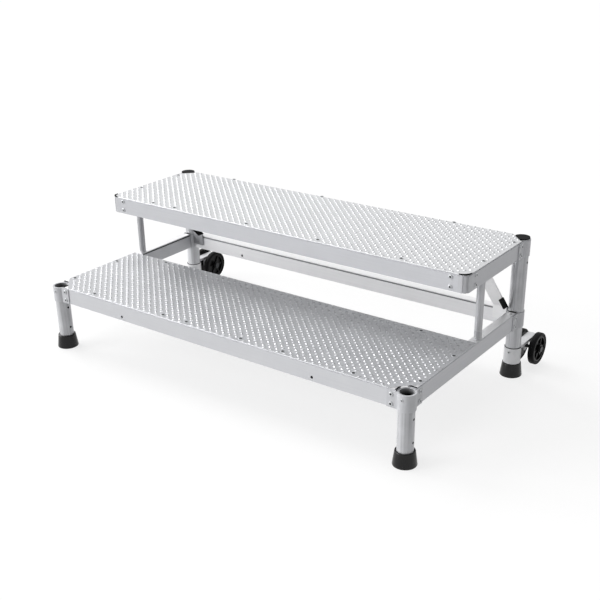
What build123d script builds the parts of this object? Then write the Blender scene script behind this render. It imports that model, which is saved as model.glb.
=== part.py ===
"""Two-step aluminium work platform on four rubber feet, with twin wheels behind its rear legs.

Millimetres. X runs along the steps, Y from the front legs to the wheels, Z up from the floor.
The origin is on the floor, at the middle of the box round the whole platform.
"""
import os
from math import atan2, cos, radians, sin, sqrt, tan

from build123d import *

os.makedirs("parts", exist_ok=True)

# Layout of the leg axes and the two steps
leg_span = 1180.0
leg_depth = 578.0
lower_top = 200.0
upper_top = 404.0
upper_setback = 260.0
lower_tread_depth = 332.0

# Rails: a box extrusion, rebated under the tread's edge and grooved along the top of its inner face
rail_width = 25.0
rail_height = 47.0
rail_wall = 2.5
rail_edge = 0.4
rebate_height = 3.0
rebate_depth = 1.5
groove_lip = 3.0
groove_height = 4.0
groove_depth = 3.0
rail_hole_diameter = 8.0
rail_hole_below_top = 36.0
front_hole_offset = 328.0
rear_hole_offset = 364.0

# Treads and what stiffens them from below
tread_thickness = 3.0
tread_gap = 0.8
lower_tread_cut = 57.0
upper_tread_cut = 44.0
tread_corner_radius = 27.0
bearer_width = 25.0
bearer_height = 30.0
bearer_wall = 2.5
bearer_offset = 328.0

# Legs, the fittings that join them to the rails, and their feet
leg_diameter = 42.0
leg_wall = 3.0
leg_hole_diameter = 7.0
leg_hole_heights = (65.0, 128.0)
rear_leg_hole_below_rail = 18.0
fitting_wall = 2.2
fitting_drop = 2.5
flange_reach = 46.0
flange_thickness = 2.5
foot_base_diameter = 62.0
foot_top_diameter = 51.0
foot_height = 40.0
foot_floor = 8.0
foot_land = 5.0
cap_skirt = 12.0
cap_skirt_wall = 2.5

# Rounded corners at the front of the upper step
corner_radius = 17.0
corner_leg = 25.0
spigot_length = 32.0
flute_width = 4.0
flute_angles = (35.0, 70.0)

# Posts under the upper step and the diagonal braces by the rear legs
post_diameter = 20.0
post_wall = 2.0
post_setback = 346.0
brace_width = 40.0
brace_thickness = 4.0
brace_inset = 41.0
brace_bend_above_rail = 8.0
brace_foot_drop = 32.0
brace_head_length = 30.0
brace_head_clearance = 88.0
clip_depth = 25.0
clip_height = 38.0
clip_thickness = 3.0

# Wheel brackets, axles and twin wheels
sleeve_wall = 2.4
sleeve_height = 46.0
arm_width = 24.0
arm_thickness = 8.0
arm_above_sleeve = 4.0
arm_past_axle = 22.0
cheek_thickness = 4.0
cheek_radius = 14.0
axle_behind_leg = 85.0
wheel_outset = 10.0
axle_diameter = 10.0
axle_head_diameter = 17.0
axle_head_thickness = 3.0
wheel_diameter = 92.0
wheel_floor_gap = 9.5
wheel_side_gap = 5.0
tyre_width = 18.0
tyre_depth = 9.0
rim_width = 15.0
rim_depth = 4.5
recess_depth = 6.0
boss_diameter = 26.0
boss_stand_out = 2.0
rib_count = 6
rib_width = 4.0
rib_height = 4.0

# Fits: a snug slip over a tube, and a wheel's axle running in its bracket
slip_fit = 0.15
running_fit = 0.05

# Values that follow from the sizes above
total_depth = foot_base_diameter / 2 + leg_depth + axle_behind_leg + wheel_diameter / 2
front_y = foot_base_diameter / 2 - total_depth / 2
rear_y = front_y + leg_depth
side_x = leg_span / 2
upper_front_y = front_y + upper_setback
middle_y = front_y + lower_tread_depth - rail_width
lower_rail_top = lower_top - tread_thickness
upper_rail_top = upper_top - tread_thickness
half_rail = rail_width / 2
leg_radius = leg_diameter / 2
leg_bore_radius = leg_radius - leg_wall
fitting_radius = leg_radius + slip_fit + fitting_wall
rail_end = fitting_radius + slip_fit
axle_y = rear_y + axle_behind_leg
axle_z = wheel_diameter / 2 + wheel_floor_gap
wheel_set_x = side_x + wheel_outset
sides = (("left", -1), ("right", 1))
legs = (
    # name, side, front or rear, top of the tube
    ("front_left", -1, -1, lower_rail_top - fitting_drop),
    ("front_right", 1, -1, lower_rail_top - fitting_drop),
    ("rear_left", -1, 1, upper_rail_top),
    ("rear_right", 1, 1, upper_rail_top),
)


def leg_centre(side, end):
    """Where a leg's axis stands: side is -1 or 1 along X, end is -1 at the front and 1 at the rear."""
    return side * side_x, rear_y if end > 0 else front_y


def write(part, name):
    """Label a finished piece and write it to its own file."""
    part.label = name
    export_step(part, f"parts/{name}.step")


# Rails
ledge = rail_height - rebate_height
groove_top = rail_height - groove_lip
groove_bottom = groove_top - groove_height
void_top = groove_bottom - rail_wall
side_length = leg_depth - 2 * rail_end
upper_side_front = upper_front_y - half_rail + corner_leg
upper_side_length = rear_y - rail_end - upper_side_front
rails = (
    # name, middle x, middle y, top z, outward x, outward y, length, hole offsets
    ("lower_rail_front", 0, front_y, lower_rail_top, 0, -1, leg_span - 2 * rail_end,
     (-front_hole_offset, front_hole_offset)),
    ("lower_rail_rear", 0, rear_y, lower_rail_top, 0, 1, leg_span - 2 * rail_end,
     (-rear_hole_offset,)),
    ("lower_rail_middle", 0, middle_y, lower_rail_top, 0, 1, leg_span - rail_width, ()),
    ("lower_rail_left", -side_x, front_y + leg_depth / 2, lower_rail_top, -1, 0, side_length, ()),
    ("lower_rail_right", side_x, front_y + leg_depth / 2, lower_rail_top, 1, 0, side_length, ()),
    ("upper_rail_front", 0, upper_front_y, upper_rail_top, 0, -1,
     leg_span + rail_width - 2 * corner_leg, ()),
    ("upper_rail_rear", 0, rear_y, upper_rail_top, 0, 1, leg_span - 2 * rail_end, ()),
    ("upper_rail_left", -side_x, upper_side_front + upper_side_length / 2, upper_rail_top, -1, 0,
     upper_side_length, ()),
    ("upper_rail_right", side_x, upper_side_front + upper_side_length / 2, upper_rail_top, 1, 0,
     upper_side_length, ()),
)
for name, x, y, top, out_x, out_y, length, hole_offsets in rails:
    section = Plane(origin=(x, y, top - rail_height), x_dir=(out_x, out_y, 0), z_dir=(out_y, -out_x, 0))
    with BuildPart() as rail:
        with BuildSketch(section):
            with BuildLine():
                Polyline(
                    (half_rail, 0),
                    (half_rail, ledge),
                    (half_rail - rebate_depth, ledge),
                    (half_rail - rebate_depth, rail_height),
                    (-half_rail, rail_height),
                    (-half_rail, groove_top),
                    (groove_depth - half_rail, groove_top),
                    (groove_depth - half_rail, groove_bottom),
                    (-half_rail, groove_bottom),
                    (-half_rail, 0),
                    close=True,
                )
            outline = make_face()
            outer_corners = outline.vertices().group_by(Axis.X)[-1]
            inner_corner = outline.vertices().group_by(Axis.Y)[0].sort_by(Axis.X)[0]
            chamfer([*outer_corners, inner_corner], rail_edge)
            with Locations((0, (rail_wall + void_top) / 2)):
                Rectangle(rail_width - 2 * rail_wall, void_top - rail_wall, mode=Mode.SUBTRACT)
            with Locations(((groove_depth - rebate_depth) / 2, rail_height / 2)):
                Rectangle(
                    rail_width - groove_depth - rebate_depth - 2 * rail_wall,
                    rail_height - 2 * rail_wall,
                    mode=Mode.SUBTRACT,
                )
        extrude(amount=length / 2, both=True)
        if hole_offsets:
            middle_face = Plane(origin=(x, y, top - rail_hole_below_top), x_dir=(1, 0, 0), z_dir=(0, -1, 0))
            with BuildSketch(middle_face):
                with Locations(*[(offset, 0) for offset in hole_offsets]):
                    Circle(rail_hole_diameter / 2)
            extrude(amount=half_rail, mode=Mode.SUBTRACT)
    write(rail.part, name)

# Legs
for name, side, end, top in legs:
    x, y = leg_centre(side, end)
    if end < 0:
        hole_heights = leg_hole_heights
    else:
        hole_heights = (upper_rail_top - rail_height - rear_leg_hole_below_rail,)
    with BuildPart() as leg:
        with BuildSketch(Plane.XY.offset(foot_floor)):
            with Locations((x, y)):
                Circle(leg_radius)
                Circle(leg_bore_radius, mode=Mode.SUBTRACT)
        extrude(amount=top - foot_floor)
        with BuildSketch(Plane(origin=(x, y, 0), x_dir=(0, 1, 0), z_dir=(1, 0, 0))):
            with Locations(*[(0, height) for height in hole_heights]):
                Circle(leg_hole_diameter / 2)
        extrude(amount=leg_diameter, both=True, mode=Mode.SUBTRACT)
    write(leg.part, f"leg_{name}")

# Fittings round the legs, with a flange over the outer face of each rail
fittings = (
    # level, legs joined there, top of the rails there
    ("lower", legs, lower_rail_top),
    ("upper", legs[2:], upper_rail_top),
)
for level, joined_legs, rail_top in fittings:
    rail_bottom = rail_top - rail_height
    for name, side, end, _ in joined_legs:
        flange_middle = half_rail + flange_thickness / 2
        with BuildPart() as fitting:
            with BuildSketch(Plane.XY.offset(rail_bottom)):
                with Locations(leg_centre(side, end)):
                    Circle(fitting_radius)
                    with Locations((-side * flange_reach / 2, end * flange_middle)):
                        Rectangle(flange_reach, flange_thickness)
                    with Locations((side * flange_middle, -end * flange_reach / 2)):
                        Rectangle(flange_thickness, flange_reach)
                    Circle(leg_radius + slip_fit, mode=Mode.SUBTRACT)
            extrude(amount=rail_height - fitting_drop)
        write(fitting.part, f"fitting_{level}_{name}")

# Rubber feet
for name, side, end, _ in legs:
    x, y = leg_centre(side, end)
    with BuildPart() as foot:
        with BuildSketch(Plane(origin=(x, y, 0), x_dir=(1, 0, 0), z_dir=(0, -1, 0))):
            with BuildLine():
                Polyline(
                    (0, 0),
                    (foot_base_diameter / 2, 0),
                    (foot_base_diameter / 2, foot_land),
                    (foot_top_diameter / 2, foot_height),
                    (leg_radius + slip_fit, foot_height),
                    (leg_radius + slip_fit, foot_floor),
                    (0, foot_floor),
                    close=True,
                )
            make_face()
        revolve(axis=Axis((x, y, 0), (0, 0, 1)))
    write(foot.part, f"foot_{name}")

# Plugs in the tops of the rear legs, flush with the tread and cut off along its corner
cap_flat = (upper_tread_cut - rail_width) / 2 - tread_gap / sqrt(2)
for name, side, end, top in legs[2:]:
    x, y = leg_centre(side, end)
    plug_radius = leg_bore_radius - slip_fit
    with BuildPart() as cap:
        with BuildSketch(Plane.XY.offset(top)):
            with Locations((x, y)):
                Circle(leg_radius)
        extrude(amount=tread_thickness)
        split(
            bisect_by=Plane(origin=(x - side * cap_flat, y - end * cap_flat, top), z_dir=(side, end, 0)),
            keep=Keep.TOP,
        )
        with BuildSketch(Plane.XY.offset(top)):
            with Locations((x, y)):
                Circle(plug_radius)
                Circle(plug_radius - cap_skirt_wall, mode=Mode.SUBTRACT)
        extrude(amount=-cap_skirt)
    write(cap.part, f"cap_{name}")

# Rounded corners of the upper step, with spigots that run into the rails
spigot_width = rail_width - 2 * rail_wall - 2 * slip_fit
for name, side in sides:
    outer_x = side * (side_x + half_rail)
    outer_y = upper_front_y - half_rail
    round_x = outer_x - side * corner_radius
    round_y = outer_y + corner_radius
    bottom = upper_rail_top - rail_height
    with BuildPart() as corner:
        with BuildSketch(Plane.XY.offset(bottom)):
            with Locations((outer_x - side * corner_leg / 2, outer_y + corner_leg / 2)):
                block = Rectangle(corner_leg, corner_leg)
            fillet(block.vertices().sort_by_distance((outer_x, outer_y))[0], corner_radius)
            for angle in flute_angles:
                flute_x = round_x + side * corner_radius * cos(radians(angle))
                flute_y = round_y - corner_radius * sin(radians(angle))
                with Locations((flute_x, flute_y)):
                    Circle(flute_width / 2, mode=Mode.SUBTRACT)
        extrude(amount=ledge)
        with BuildSketch(Plane.XY.offset(bottom + ledge)):
            with Locations((outer_x - side * (corner_leg + rebate_depth) / 2,
                            outer_y + (corner_leg + rebate_depth) / 2)):
                pad = Rectangle(corner_leg - rebate_depth, corner_leg - rebate_depth)
            fillet(pad.vertices().sort_by_distance((outer_x, outer_y))[0], corner_radius - rebate_depth)
        extrude(amount=rebate_height)
        with BuildSketch(Plane.XY.offset(bottom + rail_wall + slip_fit)):
            with Locations((outer_x - side * (corner_leg + spigot_length / 2), outer_y + half_rail)):
                Rectangle(spigot_length, spigot_width)
            with Locations((outer_x - side * half_rail, outer_y + corner_leg + spigot_length / 2)):
                Rectangle(spigot_width, spigot_length)
        extrude(amount=void_top - rail_wall - 2 * slip_fit)
    write(corner.part, f"corner_upper_front_{name}")
    with BuildPart() as corner_cap:
        with BuildSketch(Plane.XY.offset(upper_rail_top)):
            with Locations((outer_x - side * tread_corner_radius / 2, outer_y + tread_corner_radius / 2)):
                quadrant = Rectangle(tread_corner_radius, tread_corner_radius)
            fillet(quadrant.vertices().sort_by_distance((outer_x, outer_y))[0], corner_radius)
            with Locations((outer_x - side * tread_corner_radius, outer_y + tread_corner_radius)):
                Circle(tread_corner_radius + slip_fit, mode=Mode.SUBTRACT)
        extrude(amount=tread_thickness)
    write(corner_cap.part, f"corner_cap_{name}")

# Treads: flat plates over the rails, cut off at the legs
tread_width = leg_span + rail_width
with BuildPart() as lower_tread:
    with BuildSketch(Plane.XY.offset(lower_rail_top)):
        with Locations((0, front_y - half_rail + lower_tread_depth / 2)):
            plate = Rectangle(tread_width, lower_tread_depth)
        chamfer(plate.vertices().group_by(Axis.Y)[0], lower_tread_cut)
    extrude(amount=tread_thickness)
write(lower_tread.part, "lower_tread")

upper_tread_depth = leg_depth - upper_setback + rail_width
with BuildPart() as upper_tread:
    with BuildSketch(Plane.XY.offset(upper_rail_top)) as plate:
        with Locations((0, upper_front_y - half_rail + upper_tread_depth / 2)):
            Rectangle(tread_width, upper_tread_depth)
        chamfer(plate.vertices().group_by(Axis.Y)[-1], upper_tread_cut)
        fillet(plate.vertices().group_by(Axis.Y)[0], tread_corner_radius)
    extrude(amount=tread_thickness)
write(upper_tread.part, "upper_tread")

# Bearers: tubes under the treads, from the front rail to the rail behind it
bearers = (
    # level, face of the front rail, face of the rail behind, top
    ("lower", front_y + half_rail, middle_y - half_rail, lower_rail_top),
    ("upper", upper_front_y + half_rail, rear_y - half_rail, upper_rail_top),
)
for level, start_y, end_y, top in bearers:
    for name, side in sides:
        middle = (side * bearer_offset, (start_y + end_y) / 2, top - bearer_height / 2)
        with BuildPart() as bearer:
            with BuildSketch(Plane(origin=middle, x_dir=(1, 0, 0), z_dir=(0, -1, 0))):
                Rectangle(bearer_width, bearer_height)
                Rectangle(bearer_width - 2 * bearer_wall, bearer_height - 2 * bearer_wall, mode=Mode.SUBTRACT)
            extrude(amount=(end_y - start_y) / 2, both=True)
        write(bearer.part, f"{level}_bearer_{name}")

# Posts from the lower side rails to the upper side rails, flush with their outer faces
post_x = side_x + half_rail - post_diameter / 2
for name, side in sides:
    with BuildPart() as post:
        with BuildSketch(Plane.XY.offset(lower_rail_top)):
            with Locations((side * post_x, front_y + post_setback)):
                Circle(post_diameter / 2)
                Circle(post_diameter / 2 - post_wall, mode=Mode.SUBTRACT)
        extrude(amount=upper_rail_top - rail_height - lower_rail_top)
    write(post.part, f"post_{name}")

# Diagonal braces: a strip bent at both ends, from the rear rail's inner face to the tread, with an edge clip
foot_back_y = rear_y - half_rail
foot_front_y = foot_back_y - brace_thickness
bend_z = lower_rail_top + brace_bend_above_rail
head_y = upper_front_y + half_rail + brace_head_clearance + brace_head_length
rise = atan2(upper_rail_top - bend_z, foot_back_y - head_y)
inner_bend_z = bend_z - brace_thickness * (1 - sin(rise)) / cos(rise)
inner_head_y = head_y - brace_thickness * (1 - cos(rise)) / sin(rise)
clip_run = clip_height / tan(rise)
for name, side in sides:
    brace_x = side * (side_x - brace_inset)
    side_view = Plane(origin=(brace_x, 0, 0), x_dir=(0, 1, 0), z_dir=(1, 0, 0))
    with BuildPart() as brace:
        with BuildSketch(side_view):
            with BuildLine():
                Polyline(
                    (foot_back_y, lower_rail_top - brace_foot_drop),
                    (foot_back_y, bend_z),
                    (head_y, upper_rail_top),
                    (head_y - brace_head_length, upper_rail_top),
                    (head_y - brace_head_length, upper_rail_top - brace_thickness),
                    (inner_head_y, upper_rail_top - brace_thickness),
                    (foot_front_y, inner_bend_z),
                    (foot_front_y, lower_rail_top - brace_foot_drop),
                    close=True,
                )
            make_face()
        extrude(amount=brace_width / 2, both=True)
    write(brace.part, f"brace_{name}")
    with BuildPart() as brace_end:
        with BuildSketch(side_view.offset(brace_width / 2)):
            with BuildLine():
                Polyline(
                    (foot_back_y, bend_z),
                    (foot_back_y - clip_run, bend_z + clip_height),
                    (foot_back_y - clip_run - clip_depth, bend_z + clip_height),
                    (foot_back_y - clip_depth, bend_z),
                    close=True,
                )
            make_face()
        extrude(amount=clip_thickness)
    write(brace_end.part, f"brace_end_{name}")

# Wheel brackets: a sleeve on each rear leg, a flat arm out over the axle and two cheeks below it
sleeve_radius = leg_radius + slip_fit + sleeve_wall
arm_top = foot_height + sleeve_height + arm_above_sleeve
arm_length = axle_behind_leg + arm_past_axle
for name, side in sides:
    leg_x = side * side_x
    arm_x = side * wheel_set_x
    with BuildPart() as bracket:
        with BuildSketch(Plane.XY.offset(arm_top)):
            with Locations((arm_x, rear_y + arm_length / 2)):
                Rectangle(arm_width, arm_length)
        extrude(amount=-arm_thickness)
        for towards in (-1, 1):
            cheek_x = arm_x + towards * arm_width / 2
            cheek_face = Plane((cheek_x, axle_y, axle_z), x_dir=(0, -towards, 0), z_dir=(-towards, 0, 0))
            with BuildSketch(cheek_face):
                Circle(cheek_radius)
                with Locations((0, (arm_top - arm_thickness / 2 - axle_z) / 2)):
                    Rectangle(2 * cheek_radius, arm_top - arm_thickness / 2 - axle_z)
                Circle(axle_diameter / 2 + running_fit, mode=Mode.SUBTRACT)
            extrude(amount=cheek_thickness)
        with BuildSketch(Plane.XY.offset(foot_height)):
            with Locations((leg_x, rear_y)):
                Circle(sleeve_radius)
        extrude(amount=sleeve_height)
        with BuildSketch(Plane.XY.offset(foot_height)):
            with Locations((leg_x, rear_y)):
                Circle(leg_radius + slip_fit)
        extrude(amount=arm_top - foot_height, mode=Mode.SUBTRACT)
    write(bracket.part, f"wheel_bracket_{name}")

# Twin wheels on one axle, a wheel on each side of the arm, their recessed faces turned away from it
wheel_offset = arm_width / 2 + wheel_side_gap + tyre_width / 2
tyre_bore = wheel_diameter / 2 - tyre_depth
rim_radius = tyre_bore - slip_fit
rim_bore = rim_radius - rim_depth
boss_radius = boss_diameter / 2
boss_width = tyre_width + 2 * boss_stand_out
hub_bore = axle_diameter / 2 + slip_fit
for name, side in sides:
    for place, towards in (("outer", side), ("inner", -side)):
        wheel_x = side * wheel_set_x + towards * wheel_offset
        wheel_axis = Axis((wheel_x, axle_y, axle_z), (1, 0, 0))
        half_section = Plane(origin=(wheel_x, axle_y, axle_z), x_dir=(towards, 0, 0), z_dir=(0, -towards, 0))
        recess_floor = Plane(
            origin=(wheel_x + towards * (rim_width / 2 - recess_depth), axle_y, axle_z),
            x_dir=(0, 1, 0),
            z_dir=(towards, 0, 0),
        )
        with BuildPart() as tyre:
            with BuildSketch(half_section):
                with Locations((0, tyre_bore + tyre_depth / 2)):
                    Rectangle(tyre_width, tyre_depth)
            revolve(axis=wheel_axis)
        write(tyre.part, f"tyre_{name}_{place}")
        with BuildPart() as hub:
            with BuildSketch(half_section):
                with Locations((0, rim_radius / 2)):
                    Rectangle(rim_width, rim_radius)
                with Locations(((rim_width - recess_depth) / 2, (boss_radius + rim_bore) / 2)):
                    Rectangle(recess_depth, rim_bore - boss_radius, mode=Mode.SUBTRACT)
                with Locations((0, boss_radius / 2)):
                    Rectangle(boss_width, boss_radius)
                with Locations((0, hub_bore / 2)):
                    Rectangle(boss_width, hub_bore, mode=Mode.SUBTRACT)
            revolve(axis=wheel_axis)
            with BuildSketch(recess_floor):
                with PolarLocations((boss_radius + rim_bore) / 2, rib_count):
                    Rectangle(rim_radius - boss_radius, rib_width)
            extrude(amount=rib_height)
        write(hub.part, f"hub_{name}_{place}")
    axle_half = wheel_offset + boss_width / 2 + slip_fit
    axle_middle = Plane(origin=(side * wheel_set_x, axle_y, axle_z), x_dir=(0, 1, 0), z_dir=(1, 0, 0))
    with BuildPart() as axle:
        with BuildSketch(axle_middle):
            Circle(axle_diameter / 2)
        extrude(amount=axle_half, both=True)
        for towards in (-1, 1):
            with BuildSketch(axle_middle.offset(towards * axle_half)):
                Circle(axle_head_diameter / 2)
            extrude(amount=towards * axle_head_thickness)
    write(axle.part, f"axle_{name}")
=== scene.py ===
"""Looks of a two-step aluminium work platform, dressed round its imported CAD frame.

Places and lengths are in metres in the CAD's frame; values named mm are in millimetres.
"""
from math import hypot, pi, radians

import bpy
from mathutils import Euler, Matrix, Vector


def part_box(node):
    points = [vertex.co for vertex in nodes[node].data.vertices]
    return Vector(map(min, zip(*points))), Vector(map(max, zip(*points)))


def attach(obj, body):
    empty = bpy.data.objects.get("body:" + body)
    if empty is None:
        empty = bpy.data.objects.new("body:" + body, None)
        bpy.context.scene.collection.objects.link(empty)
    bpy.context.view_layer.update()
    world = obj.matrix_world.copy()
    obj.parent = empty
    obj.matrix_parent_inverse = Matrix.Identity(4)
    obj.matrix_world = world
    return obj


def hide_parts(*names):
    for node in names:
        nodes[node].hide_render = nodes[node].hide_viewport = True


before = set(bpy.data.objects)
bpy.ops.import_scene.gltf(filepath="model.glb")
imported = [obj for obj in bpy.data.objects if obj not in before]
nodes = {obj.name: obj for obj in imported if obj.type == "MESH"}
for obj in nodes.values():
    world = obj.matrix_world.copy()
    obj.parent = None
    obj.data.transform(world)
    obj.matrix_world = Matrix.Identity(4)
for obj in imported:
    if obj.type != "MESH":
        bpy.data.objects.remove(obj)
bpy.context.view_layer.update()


# Legs: four aluminium tubes, the front pair open at the top as sockets for a handrail.
# Drawn through a die, cut to length and pushed into the fittings; drawing leaves faint upright lines.
def linear(code):
    """An sRGB hex colour as the linear RGBA that a socket takes."""
    channels = [int(code[i:i + 2], 16) / 255 for i in (1, 3, 5)]
    return [c / 12.92 if c <= 0.04045 else ((c + 0.055) / 1.055) ** 2.4 for c in channels] + [1.0]


def add_node(tree, kind, inputs=None, **settings):
    """Add a node, set its properties, and fill or link its inputs by name."""
    node = tree.nodes.new(kind)
    for key, value in settings.items():
        setattr(node, key, value)
    for key, value in (inputs or {}).items():
        if isinstance(value, bpy.types.NodeSocket):
            tree.links.new(value, node.inputs[key])
        else:
            node.inputs[key].default_value = value
    return node


mm_per_metre = 1000


def wrought_metal(name, pale, dull, roughness, metallic, grain_mm, cloud_mm):
    """Bare metal: lines left by drawing or rolling, grain_mm apart on each axis, and clouds of handling."""
    material = bpy.data.materials.new(name)
    material.use_nodes = True
    tree = material.node_tree
    shader = tree.nodes["Principled BSDF"]
    roughness_swing = 0.07
    place = add_node(tree, "ShaderNodeTexCoord").outputs["Object"]
    along = add_node(tree, "ShaderNodeMapping", {
        "Vector": place, "Scale": [mm_per_metre / mm for mm in grain_mm]})
    lines = add_node(tree, "ShaderNodeTexNoise", {
        "Vector": along.outputs["Vector"], "Scale": 1.0, "Detail": 4.0})
    clouds = add_node(tree, "ShaderNodeTexNoise", {
        "Vector": place, "Scale": mm_per_metre / cloud_mm, "Detail": 5.0})
    both = add_node(tree, "ShaderNodeMath", {
        0: lines.outputs["Fac"], 1: clouds.outputs["Fac"]}, operation="ADD")
    spread = add_node(tree, "ShaderNodeMapRange", {
        "Value": both.outputs[0], "From Min": 0.7, "From Max": 1.3})
    tint = add_node(tree, "ShaderNodeMix", {
        "Factor": spread.outputs["Result"], "A": linear(dull), "B": linear(pale)}, data_type="RGBA")
    satin = add_node(tree, "ShaderNodeMapRange", {
        "Value": clouds.outputs["Fac"],
        "To Min": roughness - roughness_swing, "To Max": roughness + roughness_swing})
    relief = add_node(tree, "ShaderNodeBump", {
        "Height": lines.outputs["Fac"], "Strength": 0.12, "Distance": 0.0002})
    tree.links.new(tint.outputs["Result"], shader.inputs["Base Color"])
    tree.links.new(satin.outputs["Result"], shader.inputs["Roughness"])
    tree.links.new(relief.outputs["Normal"], shader.inputs["Normal"])
    shader.inputs["Metallic"].default_value = metallic
    return material


def finish_nodes(material, *prefixes):
    """Give a material to every CAD node whose name starts with one of the prefixes."""
    for name, node in nodes.items():
        if name.startswith(prefixes):
            node.data.materials.clear()
            node.data.materials.append(material)


# Drawn tube shows as a bright satin with soft upright streaks. The real lines are finer than a pixel, so they
# are spaced 6 mm round the tube and 240 mm along it. The bore and the cross holes are painted dark, painted
# shade that is part dark at the mouth and deepens down the bore.
upright_lines_mm = (6, 6, 240)
bore_dark_radius, bore_bare_radius = 0.0184, 0.0186
hole_dark_radius, hole_bare_radius = 0.0205, 0.0207
# Painted shade in the bore: it is part dark at the mouth and full black further down.
mouth_depth, mouth_shade, dark_depth, holes_depth = 0.004, 0.35, 0.016, 0.02
for name in ("leg_front_left", "leg_front_right", "leg_rear_left", "leg_rear_right"):
    low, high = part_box(name)
    tube = wrought_metal(
        f"drawn_aluminium_tube_{name}", "#dcdde0", "#acadb0",
        roughness=0.3, metallic=0.2, grain_mm=upright_lines_mm, cloud_mm=90)
    tree = tube.node_tree
    shader = tree.nodes["Principled BSDF"]
    place = add_node(tree, "ShaderNodeTexCoord").outputs["Object"]
    axis = add_node(tree, "ShaderNodeMapping", {
        "Vector": place, "Location": [-(low.x + high.x) / 2, -(low.y + high.y) / 2, -high.z]})
    flat = add_node(tree, "ShaderNodeVectorMath", {
        0: axis.outputs["Vector"], 1: (1, 1, 0)}, operation="MULTIPLY")
    radius = add_node(tree, "ShaderNodeVectorMath", {0: flat.outputs["Vector"]}, operation="LENGTH")
    bore = add_node(tree, "ShaderNodeMapRange", {
        "Value": radius.outputs["Value"], "From Min": bore_bare_radius, "From Max": bore_dark_radius})
    depth = add_node(tree, "ShaderNodeSeparateXYZ", {"Vector": axis.outputs["Vector"]})
    deep = add_node(tree, "ShaderNodeMapRange", {
        "Value": depth.outputs["Z"],
        "From Min": -mouth_depth, "From Max": -dark_depth, "To Min": mouth_shade})
    # Painted shade: the bore darkens with depth, and the cross holes below the top go dark.
    bore_shade = add_node(tree, "ShaderNodeMath", {
        0: bore.outputs["Result"], 1: deep.outputs["Result"]}, operation="MULTIPLY")
    pierced = add_node(tree, "ShaderNodeMapRange", {
        "Value": radius.outputs["Value"], "From Min": hole_bare_radius, "From Max": hole_dark_radius})
    lower_down = add_node(tree, "ShaderNodeMath", {
        0: depth.outputs["Z"], 1: -holes_depth}, operation="LESS_THAN")
    hole = add_node(tree, "ShaderNodeMath", {
        0: pierced.outputs["Result"], 1: lower_down.outputs[0]}, operation="MULTIPLY")
    inside = add_node(tree, "ShaderNodeMath", {
        0: bore_shade.outputs[0], 1: hole.outputs[0]}, operation="MAXIMUM")
    bore_shaded = add_node(tree, "ShaderNodeMix", {
        "Factor": inside.outputs[0], "A": shader.inputs["Base Color"].links[0].from_socket,
        "B": linear("#121314")}, data_type="RGBA")
    tree.links.new(bore_shaded.outputs["Result"], shader.inputs["Base Color"])
    finish_nodes(tube, name)
post_tube = wrought_metal(
    "drawn_aluminium_post", "#cccdd0", "#96979a",
    roughness=0.28, metallic=0.2, grain_mm=upright_lines_mm, cloud_mm=90)
finish_nodes(post_tube, "post_")

# Rails and bearers: box extrusions, rebated under the tread's edge and grooved along the inner face.
# Pressed aluminium, sawn square; the side rails run front to back, so their die lines do too.
die_lines_mm = {"Y": (260, 4, 4), "X": (4, 260, 4)}
groove_drop, groove_half_height = 0.005, 0.0022
groove_offset, groove_half_depth = 0.0108, 0.0015
joint_drop, joint_half_height = 0.0014, 0.0010
# Thickness of the painted bands on the sides and top, and the metallic of the painted highlight on the tops.
side_skin, top_skin, top_highlight_metallic = 0.0006, 0.0003, 0.85
# The rails share one extrusion. Their different colours and shine are painted light and shade: the lower rear
# rail is paler and shinier, painted light under the upper step; the front and upper right rails are darker,
# painted shade; the lower right rail is a little paler, painted light.
rails = (
    # node, axis across the rail, way to its inner face, pale and dull colours, shine of the sides
    ("lower_rail_front", "Y", 1, "#d2d3d6", "#cdced2", 0.1),
    ("lower_rail_rear", "Y", -1, "#ececee", "#e6e6e8", 0.45),
    ("lower_rail_middle", "Y", -1, "#d4d5d8", "#cfd0d4", 0.1),
    ("upper_rail_front", "Y", 1, "#cccdd1", "#c7c8cc", 0.1),
    ("upper_rail_rear", "Y", -1, "#d4d5d8", "#cfd0d4", 0.1),
    ("lower_rail_left", "X", 1, "#d4d5d8", "#cfd0d4", 0.1),
    ("lower_rail_right", "X", -1, "#dadbdf", "#d5d6da", 0.1),
    ("upper_rail_left", "X", 1, "#d4d5d8", "#cfd0d4", 0.1),
    ("upper_rail_right", "X", -1, "#cccdd1", "#c7c8cc", 0.1),
)
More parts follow.
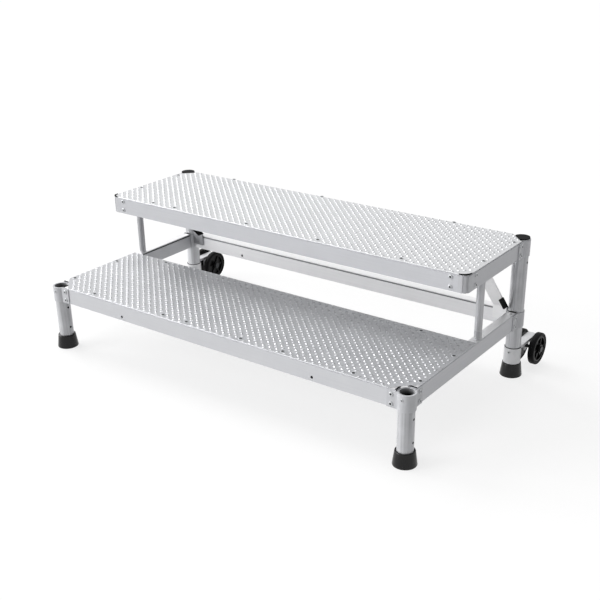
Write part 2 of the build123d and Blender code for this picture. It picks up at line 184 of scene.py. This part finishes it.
# Pressed rail shows as an even pale satin. Its top faces are painted paler and more metallic, a painted
# highlight, and its groove and, on the side rails, a band along the joint under the tread are painted darker,
# painted shade.
for name, across, inward, pale, dull, shine in rails:
    low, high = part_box(name)
    middle = (low + high) / 2
    rail = wrought_metal(
        f"extruded_aluminium_{name}", pale, dull,
        roughness=0.42, metallic=shine, grain_mm=die_lines_mm[across], cloud_mm=90)
    tree = rail.node_tree
    shader = tree.nodes["Principled BSDF"]
    local = add_node(tree, "ShaderNodeMapping", {
        "Vector": add_node(tree, "ShaderNodeTexCoord").outputs["Object"],
        "Location": (-middle.x, -middle.y, -high.z)})
    place = add_node(tree, "ShaderNodeSeparateXYZ", {"Vector": local.outputs["Vector"]})
    in_height = add_node(tree, "ShaderNodeMath", {
        0: place.outputs["Z"], 1: -groove_drop, 2: groove_half_height}, operation="COMPARE")
    in_depth = add_node(tree, "ShaderNodeMath", {
        0: place.outputs[across], 1: inward * groove_offset, 2: groove_half_depth}, operation="COMPARE")
    groove = add_node(tree, "ShaderNodeMath", {
        0: in_height.outputs[0], 1: in_depth.outputs[0]}, operation="MULTIPLY")
    # Painted shade: the groove, and on the side rails the joint under the tread, are painted darker.
    shade_mask, shade_colour = groove.outputs[0], "#8a8b8e"
    if across == "X":
        at_joint = add_node(tree, "ShaderNodeMath", {
            0: place.outputs["Z"], 1: -joint_drop, 2: joint_half_height}, operation="COMPARE")
        on_outside = add_node(tree, "ShaderNodeMath", {
            0: place.outputs["X"], 1: -inward * (high.x - low.x) / 2, 2: side_skin}, operation="COMPARE")
        joint = add_node(tree, "ShaderNodeMath", {
            0: at_joint.outputs[0], 1: on_outside.outputs[0]}, operation="MULTIPLY")
        either = add_node(tree, "ShaderNodeMath", {
            0: groove.outputs[0], 1: joint.outputs[0]}, operation="MAXIMUM")
        shade_mask, shade_colour = either.outputs[0], "#525356"
    shaded_tint = add_node(tree, "ShaderNodeMix", {
        "Factor": shade_mask, "A": shader.inputs["Base Color"].links[0].from_socket,
        "B": linear(shade_colour)}, data_type="RGBA")
    # Painted highlight: the top faces are painted paler and made more metallic, so they show the bright
    # reflection on top.
    top = add_node(tree, "ShaderNodeMath", {0: place.outputs["Z"], 1: 0.0, 2: top_skin}, operation="COMPARE")
    rubbed = add_node(tree, "ShaderNodeMapRange", {
        "Value": top.outputs[0], "To Min": shine, "To Max": top_highlight_metallic})
    top_highlight = add_node(tree, "ShaderNodeMix", {
        "Factor": top.outputs[0], "A": shaded_tint.outputs["Result"], "B": linear("#f4f4f5")}, data_type="RGBA")
    tree.links.new(top_highlight.outputs["Result"], shader.inputs["Base Color"])
    tree.links.new(rubbed.outputs["Result"], shader.inputs["Metallic"])
    finish_nodes(rail, name)
bearer = wrought_metal(
    "extruded_aluminium_bearer", "#d4d5d8", "#cfd0d4",
    roughness=0.42, metallic=0.2, grain_mm=die_lines_mm["X"], cloud_mm=90)
finish_nodes(bearer, "lower_bearer", "upper_bearer")

# Fittings and rounded corners: short lengths of a special extrusion that tie the rails to the legs.
# Sawn and tumbled, so their faces are a little duller than the rails and have no clear direction.
tumbled = wrought_metal(
    "tumbled_aluminium", "#cbccd0", "#c2c3c6",
    roughness=0.42, metallic=0.12, grain_mm=(7, 7, 40), cloud_mm=35)
finish_nodes(tumbled, "fitting_", "corner_upper_front")

# Diagonal braces and wheel brackets: flat bar and plate, bent and welded.
# Mill-rolled aluminium with a soft sheen and a few cloudy marks from handling.
# The two braces are one bar: the left one's darker colour is painted shade, and the right one's paler colour
# and higher shine are painted light.
for name, pale, dull, shine in (
    ("brace_left", "#a4a5a8", "#9a9b9e", 0.15),
    ("brace_right", "#f2f2f3", "#ebebec", 0.55),
    ("wheel_bracket", "#e4e4e6", "#d6d7d9", 0.30),
):
    rolled = wrought_metal(
        f"rolled_aluminium_{name}", pale, dull,
        roughness=0.42, metallic=shine, grain_mm=(30, 30, 30), cloud_mm=45)
    finish_nodes(rolled, name)


# Caps, corner crescents and brace clips: small plugs of black plastic pressed into or over the metal.
# Moulded polypropylene, with the fine spark-eroded grain of the mould, here drawn 1.5 mm coarse.
def grained_dark(name, black, grey, roughness, grain_mm, depth, sheen):
    """Dark stock, moulded or blackened: a grained surface whose rubbed high spots turn grey."""
    material = bpy.data.materials.new(name)
    material.use_nodes = True
    tree = material.node_tree
    shader = tree.nodes["Principled BSDF"]
    wear_mm, roughness_swing = 40, 0.08
    place = add_node(tree, "ShaderNodeTexCoord").outputs["Object"]
    grain = add_node(tree, "ShaderNodeTexNoise", {
        "Vector": place, "Scale": mm_per_metre / grain_mm, "Detail": 3.0})
    wear = add_node(tree, "ShaderNodeTexNoise", {
        "Vector": place, "Scale": mm_per_metre / wear_mm, "Detail": 4.0})
    worn = add_node(tree, "ShaderNodeMapRange", {
        "Value": wear.outputs["Fac"], "From Min": 0.45, "From Max": 0.7})
    tint = add_node(tree, "ShaderNodeMix", {
        "Factor": worn.outputs["Result"], "A": linear(black), "B": linear(grey)}, data_type="RGBA")
    satin = add_node(tree, "ShaderNodeMapRange", {
        "Value": wear.outputs["Fac"],
        "To Min": roughness - roughness_swing, "To Max": roughness + roughness_swing})
    relief = add_node(tree, "ShaderNodeBump", {
        "Height": grain.outputs["Fac"], "Strength": 0.2, "Distance": depth})
    tree.links.new(tint.outputs["Result"], shader.inputs["Base Color"])
    tree.links.new(satin.outputs["Result"], shader.inputs["Roughness"])
    tree.links.new(relief.outputs["Normal"], shader.inputs["Normal"])
    shader.inputs["Specular IOR Level"].default_value = sheen
    return material


plug_black = grained_dark(
    "grained_black_polypropylene", "#070708", "#101011",
    roughness=0.5, grain_mm=1.5, depth=0.0001, sheen=0.04)
finish_nodes(plug_black, "cap_", "corner_cap", "brace_end")


# Chequer plate treads: 3 mm aluminium rolled with raised lozenges that lie alternately one way and the other.
# The plates are cut to the step, their corners cropped at the legs or rounded, and riveted down to the rails.
def drop_selection():
    """Leave object mode with nothing selected."""
    if bpy.context.mode != "OBJECT":
        bpy.ops.object.mode_set(mode="OBJECT")
    bpy.ops.object.select_all(action="DESELECT")


def pick(mesh, test, kind="vertices"):
    """In edit mode, select only the vertices or polygons that pass the test."""
    bpy.context.tool_settings.mesh_select_mode = (kind == "vertices", False, kind == "polygons")
    bpy.ops.mesh.select_all(action="DESELECT")
    bpy.ops.object.mode_set(mode="OBJECT")
    for element in getattr(mesh, kind):
        element.select = test(element)
    bpy.ops.object.mode_set(mode="EDIT")


def settle(piece):
    """Write a piece's place and size into its mesh."""
    drop_selection()
    piece.select_set(True)
    bpy.context.view_layer.objects.active = piece
    bpy.ops.object.transform_apply(location=True, rotation=True, scale=True)


def modify(piece, kind, **settings):
    """Add a modifier to the active piece, set it and apply it."""
    step = piece.modifiers.new(kind.lower(), kind)
    for key, value in settings.items():
        setattr(step, key, value)
    bpy.ops.object.modifier_apply(modifier=step.name)


def join(pieces, name):
    """Join pieces into the first and name it."""
    drop_selection()
    for piece in pieces:
        piece.select_set(True)
    bpy.context.view_layer.objects.active = pieces[0]
    bpy.ops.object.join()
    pieces[0].name = name
    return pieces[0]


def spread_copies(model, places, name):
    """Copy a model to each place, a matrix, and join the copies into one piece."""
    made = []
    for place in places:
        copy = bpy.data.objects.new(name, model.data.copy())
        copy.data.transform(place)
        bpy.context.scene.collection.objects.link(copy)
        made.append(copy)
    bpy.data.objects.remove(model)
    return join(made, name)


# Rolled plate shows as a soft grey ground with shinier lozenges that glint in the lamps. On the lower tread
# the lozenges are painted paler than the ground, a painted highlight, and that ground is painted darker than
# the upper's, painted shade. Its sheared edge is painted near white, a painted highlight, brighter still.
lozenge_pitch = 0.022
lozenge_length, lozenge_width, lozenge_height, lozenge_root = 0.0140, 0.0074, 0.0016, 0.0003
lozenge_sides, lozenge_foot, lozenge_crown = 12, 0.5, 0.14
edge_round, sheared = 0.0006, 0.0006
edge_margin, crop_margin, rivet_margin = 0.002, 0.006, 0.011
at_front_edge, upright, facing_up = 0.001, 0.3, 0.9
front = (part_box("leg_front_left")[0].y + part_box("leg_front_left")[1].y) / 2
treads = (
    # node, pale and dull colours of the ground, colour of the lozenges, cut at the front corners, segments
    # there, cut at the rear corners, segments there, first lozenge and rivets from the middle of the
    # platform and from the front legs
    # The lower tread's ground is painted darker than the upper's, painted shade, and its lozenges paler than
    # that ground, a painted highlight.
    ("lower_tread", "#c4c5c8", "#bdbec1", "#d8d9db", 0.057, 1, 0, 0, (-0.6065, -0.0155), (
        (-0.449, 0.003), (-0.181, 0.003), (-0.096, 0.003), (0.092, 0.003), (0.228, 0.003), (0.440, 0.003),
        (-0.456, 0.307), (0.450, 0.307), (-0.592, 0.057), (-0.592, 0.230), (0.592, 0.057), (0.592, 0.221))),
    ("upper_tread", "#d6d7d9", "#d0d1d3", "#d6d7d9", 0.027, 6, 0.044, 1, (-0.6205, 0.2445), (
        (-0.445, 0.263), (-0.360, 0.263), (-0.090, 0.263), (0.153, 0.263), (0.409, 0.263), (-0.405, 0.590),
        (-0.063, 0.590), (0.382, 0.590), (-0.588, 0.360), (0.588, 0.360), (-0.590, 0.530), (0.590, 0.530))),
)
for node, pale, dull, raised, front_cut, front_steps, rear_cut, rear_steps, first_lozenge, rivets in treads:
    low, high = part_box(node)
    middle = (low + high) / 2
    size = high - low
    base = high.z - lozenge_height
    drop_selection()
    bpy.ops.mesh.primitive_plane_add(size=1, location=(middle.x, middle.y, low.z))
    plate = bpy.context.object
    plate.scale = (size.x, size.y, 1)
    settle(plate)
    bpy.ops.object.mode_set(mode="EDIT")
    if rear_cut:
        pick(plate.data, lambda v: v.co.y > middle.y)
        bpy.ops.mesh.bevel(offset=rear_cut, segments=rear_steps, affect="VERTICES")
    pick(plate.data, lambda v: v.co.y < low.y + at_front_edge)
    bpy.ops.mesh.bevel(offset=front_cut, segments=front_steps, affect="VERTICES")
    bpy.ops.mesh.select_all(action="SELECT")
    bpy.ops.mesh.extrude_region_move(TRANSFORM_OT_translate={"value": (0, 0, base - low.z)})
    bpy.ops.mesh.select_all(action="SELECT")
    bpy.ops.mesh.normals_make_consistent(inside=False)
    bpy.ops.object.mode_set(mode="OBJECT")
    modify(plate, "BEVEL", width=edge_round, segments=2)
    ground = wrought_metal(
        f"rolled_chequer_{node}", pale, dull,
        roughness=0.38, metallic=0.5, grain_mm=(60, 60, 60), cloud_mm=200)
    # Shinier lozenges; on the lower tread their paler colour is a painted highlight.
    lozenge_shine = wrought_metal(
        f"shiny_lozenges_{node}", raised, dull,
        roughness=0.32, metallic=0.85, grain_mm=(20, 20, 20), cloud_mm=60)
    # Painted highlight: the plate's upright edges are painted near white and very metallic, on an edge that
    # is brighter where freshly sheared.
    edge_highlight = wrought_metal(
        f"sheared_edge_highlight_{node}", "#fbfbfb", "#f4f4f5",
        roughness=0.3, metallic=0.9, grain_mm=(3, 3, 20), cloud_mm=60)
    plate.data.materials.append(ground)
    plate.data.materials.append(edge_highlight)
    bpy.ops.object.mode_set(mode="EDIT")
    pick(plate.data, lambda f: abs(f.normal.z) < upright, "polygons")
    plate.active_material_index = 1
    bpy.ops.object.material_slot_assign()
    bpy.ops.object.mode_set(mode="OBJECT")

    pair = []
    for turn, shift in ((-45, 0.0), (45, lozenge_pitch / 2)):
        drop_selection()
        bpy.ops.mesh.primitive_cone_add(
            vertices=lozenge_sides, radius1=lozenge_foot, radius2=lozenge_crown, depth=1)
        lens = bpy.context.object
        lens.scale = (lozenge_length, lozenge_width, lozenge_height + lozenge_root)
        lens.rotation_euler.z = radians(turn)
        lens.location = (
            first_lozenge[0] + shift, front + first_lozenge[1] + shift,
            base + (lozenge_height - lozenge_root) / 2)
        settle(lens)
        pair.append(lens)
    lens_points = len(pair[0].data.vertices)
    pattern = join(pair, "lozenges")
    for length, offset in ((size.x, (lozenge_pitch, 0, 0)), (size.y, (0, lozenge_pitch, 0))):
        modify(pattern, "ARRAY", use_relative_offset=False, use_constant_offset=True,
               constant_offset_displace=offset, count=int(length / lozenge_pitch) + 2)
    points = pattern.data.vertices
    dropped = []
    for first in range(0, len(points), lens_points):
        opposite = first + lens_points // 2
        spot = (points[first].co + points[opposite].co) / 2
        x_in = min(spot.x - low.x, high.x - spot.x)
        y_in = min(spot.y - low.y, high.y - spot.y)
        cropped = x_in + y_in < (front_cut if spot.y < middle.y else rear_cut) + crop_margin
        by_rivet = any(hypot(spot.x - x, spot.y - front - y) < rivet_margin for x, y in rivets)
        dropped.append(min(x_in, y_in) < edge_margin or cropped or by_rivet)
    bpy.ops.object.mode_set(mode="EDIT")
    pick(pattern.data, lambda v: dropped[v.index // lens_points])
    bpy.ops.mesh.delete(type="VERT")
    for along, way in ((0, -1), (0, 1), (1, -1), (1, 1)):
        cut_at = (high if way > 0 else low)[along] - way * sheared
        pick(pattern.data, lambda v: (v.co[along] - cut_at) * way > 0)
        bpy.ops.transform.resize(
            value=[0 if n == along else 1 for n in range(3)],
            center_override=[cut_at if n == along else 0 for n in range(3)])
    bpy.ops.object.mode_set(mode="OBJECT")
    bpy.ops.object.shade_smooth_by_angle(angle=radians(25))
    pattern.data.materials.append(lozenge_shine)
    piece = join([plate, pattern], f"chequer_{node}")
    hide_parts(node)
    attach(piece, "frame")


# Rivets: blind rivets through the fittings' flanges and the rounded corners, small ones that pin the legs in
# their collars and sleeves, and countersunk ones in the treads.
# Aluminium heads with a sunk steel mandrel, which reads as a dark dot with a bright rim.
def rivet_model(radius, height, dot, sink, core):
    """A rivet head on the plane z = 0: a bevelled disc with a sunk dot of the core material."""
    chamfer = min(height, radius / 3) * 0.7
    level, rim_corners = 0.99, 4
    drop_selection()
    bpy.ops.mesh.primitive_cylinder_add(
        vertices=18, radius=radius, depth=height, location=(0, 0, height / 2))
    head = bpy.context.object
    settle(head)
    head.data.materials.append(rivet_head)
    head.data.materials.append(core)
    bpy.ops.object.mode_set(mode="EDIT")
    pick(head.data, lambda f: f.normal.z > facing_up, "polygons")
    bpy.ops.mesh.bevel(offset=chamfer, segments=2)
    pick(head.data, lambda f: f.normal.z > level and len(f.vertices) > rim_corners, "polygons")
    bpy.ops.mesh.inset(thickness=radius - dot - chamfer)
    bpy.ops.mesh.extrude_region_move(TRANSFORM_OT_translate={"value": (0, 0, -sink)})
    head.active_material_index = 1
    bpy.ops.object.material_slot_assign()
    bpy.ops.object.mode_set(mode="OBJECT")
    bpy.ops.object.shade_smooth_by_angle(angle=radians(40))
    return head


def facing(point, normal):
    """A matrix that stands the +Z of a model on a point, along a normal."""
    return Matrix.Translation(point) @ Vector(normal).to_track_quat("Z", "Y").to_matrix().to_4x4()


rivet_head = wrought_metal(
    "riveted_aluminium", "#d2d4d6", "#c6c8ca",
    roughness=0.34, metallic=0.4, grain_mm=(20, 20, 20), cloud_mm=15)
mandrel = grained_dark(
    "oxidised_steel_mandrel", "#3c3d3f", "#4a4b4d", roughness=0.5, grain_mm=2, depth=0.0001, sheen=0.14)
screw_recess = grained_dark(
    "blackened_screw_recess", "#2b2c2e", "#38393b", roughness=0.5, grain_mm=2, depth=0.0001, sheen=0.1)
legs = (
    # name, side, front or rear
    ("front_left", -1, -1), ("front_right", 1, -1), ("rear_left", -1, 1), ("rear_right", 1, 1),
)
lower_rail_top, upper_rail_top = 0.197, 0.401
flange_face, flange_reach, flange_rows = 0.015, 0.034, (0.012, 0.037)
corner_reach, corner_rows = 0.045, (0.010, 0.036)
pin_drop, pin_height, pin_share = 0.013, 0.075, 0.65
heads = []
for level, top in (("lower", lower_rail_top), ("upper", upper_rail_top)):
    for name, side, end in legs:
        if f"fitting_{level}_{name}" not in nodes:
            continue
        low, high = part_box(f"leg_{name}")
        axis = (low + high) / 2
        for below in flange_rows:
            z = top - below
            heads.append(facing((axis.x - side * flange_reach, axis.y + end * flange_face, z), (0, end, 0)))
            heads.append(facing((axis.x + side * flange_face, axis.y - end * flange_reach, z), (side, 0, 0)))
low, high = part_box("upper_tread")
for side in (-1, 1):
    outer = high.x if side > 0 else low.x
    for below in corner_rows:
        z = upper_rail_top - below
        heads.append(facing((outer - side * corner_reach, low.y, z), (0, -1, 0)))
        heads.append(facing((outer, low.y + corner_reach, z), (side, 0, 0)))
for name, _, end in legs:
    holder = f"fitting_lower_{name}" if end < 0 else f"wheel_bracket_{name.removeprefix('rear_')}"
    low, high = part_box(f"leg_{name}")
    z = high.z - pin_drop if end < 0 else pin_height
    pin = Vector(((low.x + high.x) / 2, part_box(holder)[0].y, z))
    heads.append(facing(pin, (0, -1, 0)) @ Matrix.Scale(pin_share, 4))
flange_head = rivet_model(radius=0.0056, height=0.0026, dot=0.0030, sink=0.0014, core=mandrel)
flange_rivets = spread_copies(flange_head, heads, "flange_rivets")
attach(flange_rivets, "frame")

sunk = []
for node, *_, rivets in treads:
    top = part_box(node)[1].z - lozenge_height
    sunk += [Matrix.Translation((x, front + y, top)) for x, y in rivets]
tread_head = rivet_model(radius=0.0064, height=0.0008, dot=0.0045, sink=0.0006, core=screw_recess)
tread_rivets = spread_copies(tread_head, sunk, "tread_rivets")
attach(tread_rivets, "frame")

# Wheels: twin rollers on a short axle behind each rear leg, which touch the floor once the step is tipped.
# A soft black tyre with a rounded tread on a ribbed plastic centre; the axle is turned steel with flat heads.
tyre_rubber = grained_dark(
    "moulded_tyre_rubber", "#080809", "#131314", roughness=0.55, grain_mm=2, depth=0.00015, sheen=0.1)
centre_plastic = grained_dark(
    "black_nylon_centre", "#0b0b0c", "#161617", roughness=0.4, grain_mm=1.5, depth=0.0001, sheen=0.16)
axle_steel = wrought_metal(
    "blackened_turned_steel", "#3a3b3d", "#2c2d2f",
    roughness=0.4, metallic=0.8, grain_mm=(3, 60, 60), cloud_mm=20)
finish_nodes(centre_plastic, "hub_")
finish_nodes(axle_steel, "axle_")
tyre_wall, tyre_crown = 0.009, 0.0038
for side in ("left", "right"):
    for place in ("outer", "inner"):
        low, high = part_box(f"tyre_{side}_{place}")
        middle = (low + high) / 2
        drop_selection()
        bpy.ops.mesh.primitive_cylinder_add(
            vertices=56, radius=(high.z - low.z) / 2, depth=high.x - low.x, end_fill_type="NOTHING",
            location=middle, rotation=(0, pi / 2, 0))
        tyre = bpy.context.object
        tyre.name = f"rounded_tyre_{side}_{place}"
        settle(tyre)
        modify(tyre, "SOLIDIFY", thickness=tyre_wall, offset=-1)
        modify(tyre, "BEVEL", width=tyre_crown, segments=4, limit_method="ANGLE")
        bpy.ops.object.shade_smooth_by_angle(angle=radians(40))
        tyre.data.materials.append(tyre_rubber)
        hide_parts(f"tyre_{side}_{place}")
        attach(tyre, f"wheels_{side}")

# Feet: conical rubber boots pushed over the ends of the legs.
# Moulded black rubber with a rounded base and lip; the soft sheen runs down their sides.
foot_rubber = grained_dark(
    "moulded_black_rubber", "#050506", "#0d0d0e", roughness=0.28, grain_mm=2, depth=0.00015, sheen=0.34)
foot_top_radius, foot_bore_radius, foot_sole, foot_round = 0.0255, 0.0212, 0.008, 0.003
for name, _, _ in legs:
    low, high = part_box(f"foot_{name}")
    middle = (low + high) / 2
    height = high.z - low.z
    drop_selection()
    bpy.ops.mesh.primitive_cone_add(
        vertices=64, radius1=(high.x - low.x) / 2, radius2=foot_top_radius, depth=height, location=middle)
    foot = bpy.context.object
    foot.name = f"rubber_foot_{name}"
    settle(foot)
    bpy.ops.object.mode_set(mode="EDIT")
    pick(foot.data, lambda f: f.normal.z > facing_up, "polygons")
    bpy.ops.mesh.inset(thickness=foot_top_radius - foot_bore_radius)
    bpy.ops.mesh.extrude_region_move(TRANSFORM_OT_translate={"value": (0, 0, foot_sole - height)})
    bpy.ops.object.mode_set(mode="OBJECT")
    modify(foot, "BEVEL", width=foot_round, segments=4, limit_method="ANGLE", angle_limit=radians(50))
    bpy.ops.object.shade_smooth_by_angle(angle=radians(35))
    foot.data.materials.append(foot_rubber)
    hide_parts(f"foot_{name}")
    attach(foot, "frame")

# End lips: a thin lip of the black plastic lies on each end of the lower rails beside its leg and shows as a
# dark line;
# it is painted shade, standing in for the dark gap there.
lip_width, lip_length, lip_height, lip_round = 0.0042, 0.0232, 0.0012, 0.0004
rail_end_reach = 0.0246
drop_selection()
bpy.ops.mesh.primitive_cube_add(size=1, location=(0, 0, lip_height / 2))
lip_model = bpy.context.object
lip_model.scale = (lip_width, lip_length, lip_height)
settle(lip_model)
modify(lip_model, "BEVEL", width=lip_round, segments=2)
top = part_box("lower_rail_front")[1].z
quarter_turn = Matrix.Rotation(pi / 2, 4, "Z")
ends = []
for name, side, end in legs:
    low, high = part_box(f"leg_{name}")
    axis = (low + high) / 2
    ends.append(Matrix.Translation((axis.x - side * rail_end_reach, axis.y, top)))
    ends.append(Matrix.Translation((axis.x, axis.y - end * rail_end_reach, top)) @ quarter_turn)
# Painted shade: the black lips stand in for the dark gaps beside the legs.
gap_shade_lips = spread_copies(lip_model, ends, "rail_end_gap_shade")
gap_shade_lips.data.materials.append(plug_black)
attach(gap_shade_lips, "frame")

# Sleeve rings: a thin black ring round each rear leg, where the wheel bracket's sleeve ends; it is painted
# shade, standing in for the dark line of the gap at the sleeve's top.
bead_radius, bead_height, bead_wall, bead_round, bead_z = 0.0227, 0.0022, 0.0017, 0.0007, 0.0863
for side in ("left", "right"):
    low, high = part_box(f"leg_rear_{side}")
    axis = (low + high) / 2
    drop_selection()
    bpy.ops.mesh.primitive_cylinder_add(
        vertices=48, radius=bead_radius, depth=bead_height, end_fill_type="NOTHING",
        location=(axis.x, axis.y, bead_z))
    bead = bpy.context.object
    bead.name = f"sleeve_gap_shade_{side}"
    settle(bead)
    modify(bead, "SOLIDIFY", thickness=bead_wall, offset=-1)
    modify(bead, "BEVEL", width=bead_round, segments=2, limit_method="ANGLE")
    bpy.ops.object.shade_smooth_by_angle(angle=radians(60))
    # Painted shade: the black ring stands in for the dark gap at the sleeve's top.
    bead.data.materials.append(plug_black)
    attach(bead, "frame")


# Studio: a wide white floor that keeps the shadow, a white sweep that dims towards the ceiling, a low softbox
# from the front left, one from the left, and a weak one overhead that picks out the lozenges.
def picture_rays(tree):
    """1 on the rays that show the white background, of the camera, mirrors and glass, and 0 on others."""
    path = add_node(tree, "ShaderNodeLightPath")
    seen = path.outputs["Is Camera Ray"]
    for kind in ("Is Glossy Ray", "Is Transmission Ray"):
        either = add_node(tree, "ShaderNodeMath", {0: seen, 1: path.outputs[kind]}, operation="MAXIMUM")
        seen = either.outputs[0]
    return seen


floor_size, floor_glow = 80, 0.76
drop_selection()
bpy.ops.mesh.primitive_plane_add(size=floor_size, location=(0, 0, 0))
floor = bpy.context.object
floor.name = "studio_floor"
# Studio paper shows as pure white in the picture, and lights the metal from below as a pale grey.
paper = bpy.data.materials.new("white_studio_paper")
paper.use_nodes = True
tree = paper.node_tree
seen = picture_rays(tree)
shade = add_node(tree, "ShaderNodeMix", {
    "Factor": seen, "A": linear("#c4c4c4"), "B": linear("#8a8a8a")}, data_type="RGBA")
glow = add_node(tree, "ShaderNodeMath", {0: seen, 1: floor_glow}, operation="MULTIPLY")
shader = tree.nodes["Principled BSDF"]
tree.links.new(shade.outputs["Result"], shader.inputs["Base Color"])
tree.links.new(glow.outputs[0], shader.inputs["Emission Strength"])
shader.inputs["Emission Color"].default_value = linear("#ffffff")
shader.inputs["Roughness"].default_value = 1.0
shader.inputs["Specular IOR Level"].default_value = 0.0
floor.data.materials.append(paper)

sky_fill, sweep_start, sweep_end, ceiling_level = 0.30, 0.5, 0.9, 0.3
world = bpy.data.worlds.new("pale_studio")
world.use_nodes = True
bpy.context.scene.world = world
tree = world.node_tree
sky = tree.nodes["Background"]
sky.inputs["Color"].default_value = linear("#ffffff")
direction = add_node(tree, "ShaderNodeTexCoord").outputs["Generated"]
height = add_node(tree, "ShaderNodeSeparateXYZ", {"Vector": direction}).outputs["Z"]
sweep = add_node(tree, "ShaderNodeMapRange", {
    "Value": height, "From Min": sweep_start, "From Max": sweep_end,
    "To Min": 1.0, "To Max": ceiling_level})
level = add_node(tree, "ShaderNodeMapRange", {
    "Value": picture_rays(tree), "To Min": sky_fill, "To Max": sweep.outputs["Result"]})
tree.links.new(level.outputs["Result"], sky.inputs["Strength"])

lamp_distance = 5
for name, towards, energy, spread in (
    # name, where the lamp stands, strength, apparent size in degrees
    ("front_softbox", (-0.73, -0.63, 0.27), 2.3, 35),
    ("left_softbox", (-0.88, 0.10, 0.46), 2.0, 40),
    ("overhead_softbox", (-0.20, 0.12, 0.97), 0.8, 34),
):
    drop_selection()
    bpy.ops.object.light_add(type="SUN", location=Vector(towards) * lamp_distance)
    lamp = bpy.context.object
    lamp.name = name
    lamp.data.energy = energy
    lamp.data.angle = radians(spread)
    lamp.rotation_euler = Vector(towards).to_track_quat("Z", "Y").to_euler()

# Camera: fitted to the photograph's own perspective.
# Its principal point lies below the middle of the frame, hence the shifts.
camera_right, camera_before_legs, camera_height = 1.5930, 1.76095, 1.2655
tilt_down, turn_left, roll = 0.447, 0.645, -0.019
drop_selection()
bpy.ops.object.camera_add()
camera = bpy.context.object
camera.name = "photo_camera"
camera.data.sensor_width = 36
camera.data.lens = 59.305
camera.data.shift_x = 0.0088
camera.data.shift_y = 0.0864
camera.data.clip_end = 200
look = Euler((pi / 2 - tilt_down, 0, turn_left)).to_matrix().to_4x4() @ Matrix.Rotation(roll, 4, "Z")
camera.matrix_world = Matrix.Translation((camera_right, front - camera_before_legs, camera_height)) @ look
bpy.context.scene.camera = camera
bpy.context.scene.view_settings.view_transform = "Standard"
